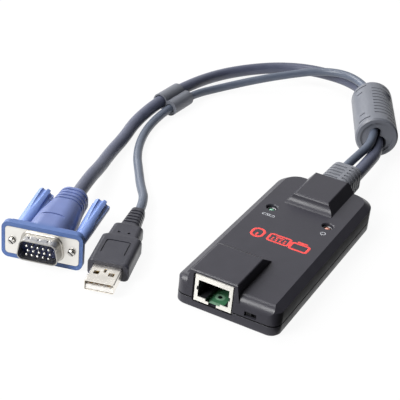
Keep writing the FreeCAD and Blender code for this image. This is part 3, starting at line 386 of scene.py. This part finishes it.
def band(path, profile, origin, axes=UPRIGHT):
    """A band round an outline.  The outline's point is moved along its outward
    direction by the profile's offset, and raised by its height.  The axes say which
    way the outline's two directions and its height point."""
    points, out = path
    profile = np.array(profile, float)
    flat = points[:, None] + out[:, None] * profile[None, :, :1]
    height = np.broadcast_to(profile[None, :, 1:], flat.shape[:2] + (1,))
    return (np.array(origin) + np.concatenate([flat, height], axis=-1) @ np.array(axes)) * MM


def patchwork(name, bands, closed=True, rides_on="housing"):
    """One piece from several bands, each a grid whose first direction may close."""
    starts = np.cumsum([0] + [grid.shape[0] * grid.shape[1] for grid in bands])
    faces = [grid_faces(*grid.shape[:2], start, closed) for grid, start in zip(bands, starts)]
    points = np.concatenate([grid.reshape(-1, 3) for grid in bands])
    piece = new_piece(name, points, np.concatenate(faces))
    piece.data.shade_smooth()
    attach(piece, rides_on)
    print(name, "faces:", len(piece.data.polygons))


print("a band on its profile's grid:", band(rounded((0, 0), (2, 1), 0.5), fill(0.5), (0, 0, 0)).shape)

# %% [markdown]
# The deck carries three pictograms in red that say what the box is for: a display, a
# keyboard and a mouse.  They are read from the leads' end.  Printed ink is a few
# hundredths of a millimetre thick, so each line is a very low bead, and a pictogram is
# built up from rings and bars as a sign maker would cut them from film.

# %% Deck print
deck_height = 12.81
FROM_THE_LEADS = ((-1, 0, 0), (0, -1, 0), (0, 0, 1))


def ring(centre, half, corner, width):
    """A line of ink round a rectangle with round corners: its outline and section."""
    return rounded(centre, half, corner), stroke(width)


def bar(centre, half):
    """A filled bar with round ends: its outline and section."""
    round_end = min(half)
    return rounded(centre, half, round_end), fill(round_end)


def printed(x, y, shapes):
    """Bands for shapes that lie on the deck round a point, turned to the leads' end."""
    return [band(path, profile, (x, y, deck_height), FROM_THE_LEADS) for path, profile in shapes]


display = [ring((-9.3, 0.55), (3.7, 2.45), corner=0.9, width=1.1),
           bar((-9.3, -2.35), (0.75, 0.7)), bar((-9.3, -3.2), (2.3, 0.5))]
keys = [bar((x, y), (0.5, 0.5)) for y in (1.0, -0.3) for x in (-2.7, -0.9, 0.9, 2.7)]
keyboard = [ring((0.0, -0.2), (4.5, 2.7), corner=0.9, width=1.0), bar((0.0, -1.55), (1.9, 0.4))]
mouse = [ring((9.6, -0.2), (2.4, 3.2), corner=2.3, width=1.1), bar((9.6, 1.0), (0.45, 1.2))]
patchwork("deck_print", printed(0.6, -6.2, display + keyboard + keys + mouse))

# %% [markdown]
# Each lamp has a small pale sign beside it: two linked rings for the network, and a
# ring with a bar for power.  They are the same low beads, on a smaller scale.

# %% Lamp prints
sign_row = 9.3
links = [ring((x, 0), (1.6, 0.62), corner=0.6, width=0.32) for x in (-1.15, 1.15)]
power = [ring((0, 0), (1.05, 1.05), corner=1.04, width=0.34), bar((0, 1.0), (0.17, 0.6))]
patchwork("lamp_prints", printed(-11.5, sign_row, links) + printed(13.5, sign_row, power))

# %% [markdown]
# A bright collar stands round each lamp.  On the real case it is the rim of a pressed
# ring, under half a millimetre wide, so it is a low trapezoid carried round a circle.
# The circle is a rounded square whose corners take up nearly all of it.

# %% Lamp collars
collar_foot, collar_radius, collar_corner = 11.45, 1.95, 1.94
collar = [(-0.42, 0), (-0.3, 0.22), (0.25, 0.22), (0.42, 0)]
collars = []
for lamp_name in ("link_lamp", "power_lamp"):
    lowest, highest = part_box(lamp_name)
    middle = [(lowest[i] + highest[i]) / 2 / MM for i in (0, 1)]
    circle = rounded(middle, (collar_radius, collar_radius), collar_corner)
    collars.append(band(circle, collar, (0, 0, collar_foot)))
patchwork("lamp_rings", collars)

# %% [markdown]
# The video plug's shell leaves its flange through a small rolled lip, where the sheet
# was drawn out.  The lip follows the shell's outline, which is wide at the foot and
# narrow at the top and has four round corners.  Two corners are worked out as the
# arcs that touch a leaning side and a level edge, and the other two mirror them.
# The lip could be a bevel on the shell, but a bevel there would round the flange too.

# %% Flange lip
def plug_axes(heading):
    """The directions across a plug, up, and out of its mouth.  A plug with no heading
    points along minus y, and the heading turns its mouth towards plus x."""
    return ((math.cos(heading), math.sin(heading), 0), (0, 0, 1),
            (math.sin(heading), -math.cos(heading), 0))


video_heading = math.radians(15.0)
video_flange = (-77.9, -60.2, 8.2)
half_width, half_height, shell_corner, lean = 9.0, 4.7, 2.6, math.radians(10.0)


def shell_arc(z, first, last):
    """The arc at a height whose circle touches the leaning side."""
    reach = half_width * math.cos(lean) - half_height * math.sin(lean) - shell_corner
    return ((reach - math.sin(lean) * z) / math.cos(lean), z, shell_corner, first, last)


low_right = shell_arc(shell_corner - half_height, -90, 10)
high_right = shell_arc(half_height - shell_corner, 10, 90)
shell_path = outline([low_right, high_right,
                      (-high_right[0], high_right[1], shell_corner, 90, 170),
                      (-low_right[0], low_right[1], shell_corner, 170, 270)])
lip = [(0.95, 0.0), (0.85, 0.28), (0.6, 0.5), (0.3, 0.58), (0.0, 0.6)]
patchwork("flange_lip", [band(shell_path, lip, video_flange, plug_axes(video_heading))])

# %% [markdown]
# Each thumbscrew ends in a slot for a screwdriver.  A slot could be cut, but it is half
# a millimetre wide and always in shadow, so it is painted shade: a thin dark strip on the
# screw's end.  It rides on the screw, because it has to turn with it.

# %% Screw slots
screw_spacing, screw_tip = 12.5, 1.41
slant = math.radians(40.0)
across, upward, outward = (np.array(axis) for axis in plug_axes(video_heading))
along_slot = math.cos(slant) * across - math.sin(slant) * upward
over_slot = math.sin(slant) * across + math.cos(slant) * upward
slot_path = rounded((0, 0), (1.25, 0.26), corner=0.25)
for side_name, side_x in (("left", -screw_spacing), ("right", screw_spacing)):
    tip = np.array(video_flange) + side_x * across + screw_tip * outward
    slot = band(slot_path, fill(0.25, rise=0.02), tip, (along_slot, over_slot, outward))
    patchwork(side_name + "_screw_slot", [slot], rides_on=side_name + "_thumbscrew")

# %% [markdown]
# In the USB plug's mouth the ends of four contacts show over the tongue.  The contacts
# are solids, and only their ends are darker, in a skin of dull, nearly brown gold, so
# each is a small low tab.

# %% Contact ends
usb_heading = math.radians(16.2)
usb_mouth = (-47.0, -66.1, 4.2)
tabs = [rounded((x, 1.35), (0.65, 0.33), corner=0.3) for x in (-3.5, -1.1, 1.1, 3.5)]
patchwork("contact_ends", [band(tab, fill(0.3, rise=0.02), usb_mouth, plug_axes(usb_heading))
                           for tab in tabs])

# %% [markdown]
# The case is two shells, and where they meet there is a fine groove.  It runs round the
# housing from one side of the socket to the other.  The shade in the groove is painted: a
# shallow near-black notch, carried along that line just inside the walls, draws the groove
# without cutting the shells.

# %% Parting line
socket_low, socket_high = (np.array(point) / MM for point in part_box("jack_shield"))
front_wall, rear_wall, side_wall, seam_height = -51.6, 51.8, 22.0, 4.6
front_corner, rear_corner, clear_of_socket = 4.5, 10, 0.6
path, away = outline([
    (side_wall - front_corner, front_wall + front_corner, front_corner, -90, 0),
    (side_wall - rear_corner, rear_wall - rear_corner, rear_corner, 0, 90),
    (rear_corner - side_wall, rear_wall - rear_corner, rear_corner, 90, 180),
    (front_corner - side_wall, front_wall + front_corner, front_corner, 180, 270)])
path = np.concatenate([[(socket_high[0] + clear_of_socket, front_wall)], path,
                       [(socket_low[0] - clear_of_socket, front_wall)]])
away = np.concatenate([[(0, -1)], away, [(0, -1)]])
notch = [(-0.01, -0.27), (-0.27, 0.0), (-0.01, 0.27)]
patchwork("parting_line_shade", [band((path, away), notch, (0, 0, seam_height))], closed=False)

# %% [markdown]
# The socket sits loosely in its opening, with a dark gap on its left and under it.  Each
# gap is painted shadow: a narrow near-black strip on the front wall, as long as that side of the
# socket.

# %% Socket gap shadow
on_the_front = (0, front_wall - 0.05, 0)
FACING_FRONT = ((1, 0, 0), (0, 0, 1), (0, -1, 0))
left_half, left_corner = 0.5, 0.49
foot_half, foot_corner = 0.4, 0.39
socket_middle = (socket_low + socket_high) / 2
socket_width, _, socket_height = socket_high - socket_low
on_the_left = rounded((socket_low[0] - left_half, socket_middle[2] - 0.2),
                      (left_half, socket_height / 2 + 0.3), left_corner)
under = rounded((socket_middle[0], socket_low[2] - foot_half),
                (socket_width / 2 + left_half, foot_half), foot_corner)
gap_shadows = ((on_the_left, left_corner), (under, foot_corner))
patchwork("socket_gap_shadow", [band(gap, fill(corner, rise=0.01), on_the_front, FACING_FRONT)
                         for gap, corner in gap_shadows])

# %% [markdown]
# Through the nook beside the socket a corner of the circuit board shows, with a ring of
# paler green round a fixing hole and a strip of it in front.  Copper and lacquer are
# only hundredths of a millimetre thick, so they are low beads as the print is.  The hole
# itself is painted shade, a near-black disc laid on the board.

# %% Board marks
board_top = (0, 0, 4.21)
hole_middle = (-5.4, -44.7)
pad = rounded(hole_middle, (1.5, 1.5), corner=1.49)
strip = rounded((-4.6, -49.5), (3.0, 0.8), corner=0.79)
patchwork("board_marks", [band(pad, stroke(1.1), board_top), band(strip, fill(0.79), board_top)])
hole = rounded(hole_middle, (0.9, 0.9), corner=0.89)
patchwork("board_hole_shade", [band(hole, fill(0.89, rise=0.01), board_top)])

# %% [markdown]
# Every finish starts from the same three things that real moulded and plated parts
# have: a colour that drifts a little, a sheen that drifts with it, and a fine relief.
# A picture of plastic could be wrapped on instead, but its grain would stretch.  Here
# all three come from noise in the object's own coordinates, so the grain has a true
# size in metres and stays put when the object turns.

# %% Noise
NOISE_MIDDLE = (0.3, 0.7)


def noise(tree, place, size, detail):
    """Noise whose swells are about the given size, in metres."""
    texture = tree.nodes.new("ShaderNodeTexNoise")
    texture.inputs["Scale"].default_value = 1 / size
    texture.inputs["Detail"].default_value = detail
    join(tree, place, texture.inputs["Vector"])
    return texture.outputs["Fac"]


print("most of the noise lies between", *NOISE_MIDDLE)

# %% A finish
SHEEN_DRIFT = 0.05


def finish(name, colour, roughness, drift=0.06, drift_size=0.006, grain=0.0003, relief=0.08,
           metallic=0.0, coat=0.0, specular=0.5):
    """A principled surface.  Its colour is the given one times one plus or minus the
    drift, read from noise of drift_size.  Its roughness moves with the same noise.  Its
    relief is noise of the grain's size.  Sizes are in metres."""
    material = bpy.data.materials.new(name)
    material.use_nodes = True
    tree = material.node_tree
    surface = tree.nodes["Principled BSDF"]
    surface.inputs["Metallic"].default_value = metallic
    surface.inputs["Coat Weight"].default_value = coat
    surface.inputs["Specular IOR Level"].default_value = specular
    place = tree.nodes.new("ShaderNodeTexCoord")
    place.name = "place"
    slow = noise(tree, place.outputs["Object"], drift_size, detail=4)
    tint = tree.nodes.new("ShaderNodeVectorMath")
    tint.name = "tint"
    tint.operation = "SCALE"
    tint.inputs[0].default_value = colour
    join(tree, remap(tree, slow, NOISE_MIDDLE, (1 - drift, 1 + drift)), tint.inputs["Scale"])
    join(tree, tint.outputs[0], surface.inputs["Base Color"])
    sheen = (roughness - SHEEN_DRIFT, roughness + SHEEN_DRIFT)
    join(tree, remap(tree, slow, NOISE_MIDDLE, sheen), surface.inputs["Roughness"])
    bump = tree.nodes.new("ShaderNodeBump")
    bump.inputs["Strength"].default_value = relief
    bump.inputs["Distance"].default_value = grain / 3
    fine = noise(tree, place.outputs["Object"], grain, detail=2)
    join(tree, fine, bump.inputs["Height"])
    join(tree, bump.outputs["Normal"], surface.inputs["Normal"])
    return material


print("sheen drifts by", SHEEN_DRIFT)

# %% [markdown]
# A solid from the CAD model may come with a plain material, and a new piece has none.
# Either way one finish goes over the whole piece, because each piece is one moulding,
# one pressing or one print.

# %% Dressing a piece
def dress(material, *names):
    """Gives a finish to solids from the CAD model or to new pieces."""
    for name in names:
        piece = bpy.data.objects[name]
        if not piece.material_slots:
            piece.data.materials.append(material)
        for place in piece.material_slots:
            place.material = material
    print(material.name, "on", ", ".join(names))


print("materials before dressing:", len(bpy.data.materials))

# %% [markdown]
# The case is black plastic from a polished mould: nearly smooth, with a sheen that is
# broad rather than mirror-like.  Its specular level is held down, because at the
# default the soft boxes would turn the black deck grey.  The other hard mouldings, on
# the board and in the plugs, differ from it only in their colour and gloss.

# %% Case and mouldings
dress(finish("case_plastic", (0.034, 0.033, 0.042), 0.34, drift=0.05, grain=0.0002, relief=0.10,
             specular=0.32), "top_shell", "bottom_shell")
dress(finish("black_moulding", (0.012, 0.012, 0.014), 0.45),
      "jack_insulator", "switch_body", "switch_knob", "main_chip", "small_chips")
dress(finish("pale_moulding", (0.70, 0.70, 0.67), 0.5), "video_header", "usb_header")
dress(finish("grip_plastic", (0.030, 0.030, 0.040), 0.36, relief=0.25, specular=0.4),
      "usb_overmold")
dress(finish("pin_block", (0.015, 0.025, 0.10), 0.4), "video_insulator")
dress(finish("tongue_white", (0.74, 0.72, 0.69), 0.5), "usb_tongue")

# %% [markdown]
# Bare metal reflects its surroundings in its own colour, so plated parts are fully
# metallic and differ in tint and roughness.  The socket's shield is the exception: its
# soft pressed sheet looks almost like white paint in this light, and a low metallic
# value gives that.  The ends of the contacts in the USB mouth are dull, dark and nearly brown.

# %% Metals
dress(finish("screw_steel", (0.55, 0.54, 0.52), 0.30, metallic=1.0, grain=0.0002),
      "case_screws", "lamp_legs", "crystal", "left_thumb_bolt", "right_thumb_bolt")
dress(finish("frame_nickel", (0.90, 0.88, 0.82), 0.38, metallic=0.35, drift=0.04), "jack_shield")
dress(finish("contact_gold", (0.83, 0.60, 0.24), 0.25, metallic=1.0, grain=0.0001),
      "jack_contacts", "usb_contacts")
dress(finish("pale_pins", (0.85, 0.84, 0.80), 0.28, metallic=1.0, grain=0.0001), "video_pins")
dress(finish("dark_gold", (0.09, 0.055, 0.03), 0.5, metallic=0.3, grain=0.0001), "contact_ends")
dress(finish("capacitor_can", (0.60, 0.61, 0.63), 0.35, metallic=1.0), "capacitors")
dress(finish("usb_plate", (0.97, 0.93, 0.86), 0.26, metallic=1.0, drift=0.03), "usb_plug_shell")
dress(finish("lamp_silver", (0.20, 0.20, 0.21), 0.4, metallic=1.0, drift=0.04), "lamp_rings")
dress(finish("lip_steel", (0.50, 0.48, 0.44), 0.35, metallic=1.0, drift=0.04), "flange_lip")

# %% [markdown]
# The leads, the ferrite's sleeve, the clip and the strain relief are soft vinyl and
# rubber in bluish greys, and the thumbscrews' grips are the same in blue.  One grey
# could serve for all, but each piece is moulded apart from the others, so each has its
# own cast and gloss.  The ferrite inside its sleeve is a rough ceramic.

# %% Jackets and rubbers
dress(finish("relief_rubber", (0.165, 0.172, 0.195), 0.5, relief=0.15), "strain_relief")
dress(finish("lead_jacket", (0.072, 0.080, 0.122), 0.36, relief=0.1), "video_cord")
dress(finish("thin_jacket", (0.085, 0.102, 0.140), 0.36, relief=0.1), "usb_cord")
dress(finish("sleeve_rubber", (0.128, 0.136, 0.160), 0.40, relief=0.12),
      "ferrite_sleeve", "cable_clip")
dress(finish("ferrite_grey", (0.05, 0.05, 0.055), 0.6), "ferrite_core")
dress(finish("wire_jacket", (0.42, 0.42, 0.43), 0.4), "inner_wires")
dress(finish("thumb_blue", (0.165, 0.25, 0.54), 0.38, relief=0.1),
      "left_thumb_grip", "right_thumb_grip")

# %% [markdown]
# Two pieces of the video plug change colour along their length.  The blue hood is
# deeper next to the flange, and the plating is darker on the drawn shell than on the
# flat flange.  Splitting the pieces would leave a seam, so the colour is a function of
# the distance along the plug, which is the dot product of a point and the plug's axis.

# %% Two-tone pieces
def two_tone(material, change, further):
    """Lets a finish's colour, which stays as it is near the video plug's mouth, change
    to another further back, between two distances in metres."""
    tree = material.node_tree
    tint = tree.nodes["tint"]
    distance_back = tree.nodes.new("ShaderNodeVectorMath")
    distance_back.operation = "DOT_PRODUCT"
    distance_back.inputs[1].default_value = (-math.sin(video_heading), math.cos(video_heading), 0)
    join(tree, tree.nodes["place"].outputs["Object"], distance_back.inputs[0])
    colours = tree.nodes.new("ShaderNodeMix")
    colours.data_type = "RGBA"
    before, after = [entry for entry in colours.inputs if entry.type == "RGBA"]
    before.default_value = (*tint.inputs[0].default_value, 1)
    after.default_value = (*further, 1)
    join(tree, remap(tree, distance_back.outputs["Value"], change, (0.0, 1.0)), colours.inputs[0])
    blended = next(output for output in colours.outputs if output.type == "RGBA")
    join(tree, blended, tint.inputs[0])


hood_front, flange_edge = (-0.0350, -0.0320), (-0.03849, -0.03809)
blue_vinyl = finish("blue_vinyl", (0.055, 0.108, 0.28), 0.40, relief=0.1)
two_tone(blue_vinyl, hood_front, further=(0.105, 0.142, 0.32))
dress(blue_vinyl, "video_hood")
bright_plate = finish("bright_plate", (0.44, 0.43, 0.41), 0.42, metallic=1.0, drift=0.03)
two_tone(bright_plate, flange_edge, further=(0.88, 0.86, 0.82))
dress(bright_plate, "video_shell")

# %% [markdown]
# The board is lacquered, which is a clear coat over green.  The lamps could be clear
# plastic with a light inside, but switched off they look like tinted wax under a
# gloss, so each is a solid colour with a full coat.

# %% Board and lamps
dress(finish("board_green", (0.06, 0.20, 0.10), 0.35, coat=0.3, drift_size=0.002), "circuit_board")
dress(finish("pale_green", (0.22, 0.40, 0.27), 0.35, coat=0.3, drift_size=0.002), "board_marks")
dress(finish("green_lens", (0.14, 0.36, 0.24), 0.15, coat=1.0), "link_lamp")
dress(finish("orange_lens", (0.50, 0.20, 0.14), 0.15, coat=1.0), "power_lamp")

# %% [markdown]
# Ink is matt and even.  The last finish isn't a material that one could touch: it is
# the near black of a place where no light gets in, for gaps, slots and holes.  Its
# specular level is low, so that no lamp shows in it.

# %% Ink and shadow
dress(finish("red_ink", (0.72, 0.055, 0.050), 0.5, drift=0.04, relief=0.1), "deck_print")
dress(finish("pale_ink", (0.40, 0.41, 0.44), 0.5, drift=0.04, relief=0.1), "lamp_prints")
dress(finish("deep_shadow", (0.004, 0.004, 0.005), 0.7, specular=0.1),
      "parting_line_shade", "socket_gap_shadow", "left_screw_slot", "right_screw_slot", "board_hole_shade")

# %% [markdown]
# The frame is closed with a last update of the view layer.

# %% Close
bpy.context.view_layer.update()
